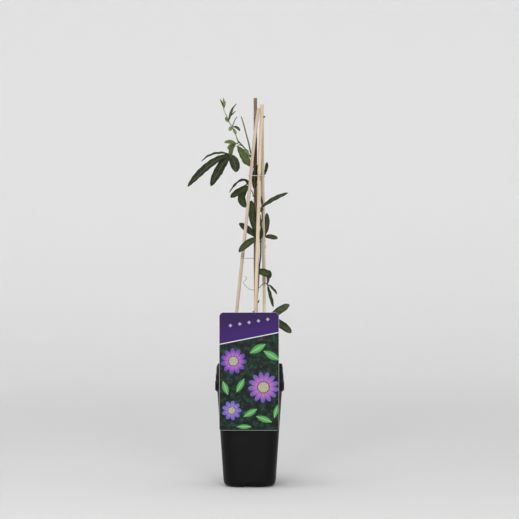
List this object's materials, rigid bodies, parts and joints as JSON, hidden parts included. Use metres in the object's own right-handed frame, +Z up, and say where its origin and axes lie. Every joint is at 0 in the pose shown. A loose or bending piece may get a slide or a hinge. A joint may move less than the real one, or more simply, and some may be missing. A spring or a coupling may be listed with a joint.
{
  "type": "potted passion flower plant",
  "caption": "Young climbing passion flower in a tall square nursery pot, with palmate leaves and tendrils on tied bamboo canes and a picture label hooked over the rim.",
  "frame": {"origin": "centre of the pot's base, on the surface it stands on", "axes": "+Z up along the pot and canes, front of the pot with its label towards -Y, +X to the right as seen from the front"},
  "size_m": [0.1693, 0.1144, 0.633],
  "materials": {
    "pot_plastic": "satin",
    "potting_soil": "matte",
    "bamboo": "satin",
    "old_bamboo": "matte",
    "tie_wire": "satin",
    "label_print": "gloss",
    "clip_plastic": "satin",
    "vine_bark": "matte",
    "leaf_green": "satin",
    "young_green": "satin"
  },
  "bodies": {
    "root": {"pot": "pot_plastic", "soil": "potting_soil", "cane_left": "bamboo", "cane_front": "bamboo", "cane_back": "bamboo", "cane_old": "old_bamboo", "tie_upper": "tie_wire", "tie_lower": "tie_wire", "vine_stem": "vine_bark", "young_shoot": "young_green", "tendril_straight": "young_green", "tendril_curled": "young_green", "tendril_twig": "young_green", "label_card": "label_print", "label_clip": "clip_plastic", "leaf_crown": "leaf_green", "leaf_young": "leaf_green", "leaf_axil": "leaf_green", "leaf_mid_left": "leaf_green", "leaf_right_long": "leaf_green", "leaf_centre": "leaf_green", "leaf_back_right": "leaf_green", "leaf_top_right": "leaf_green", "leaf_inner": "leaf_green", "leaf_strap": "leaf_green", "leaf_drop": "leaf_green", "leaf_low": "leaf_green", "leaf_hidden": "leaf_green"}
  },
  "joints": []
}
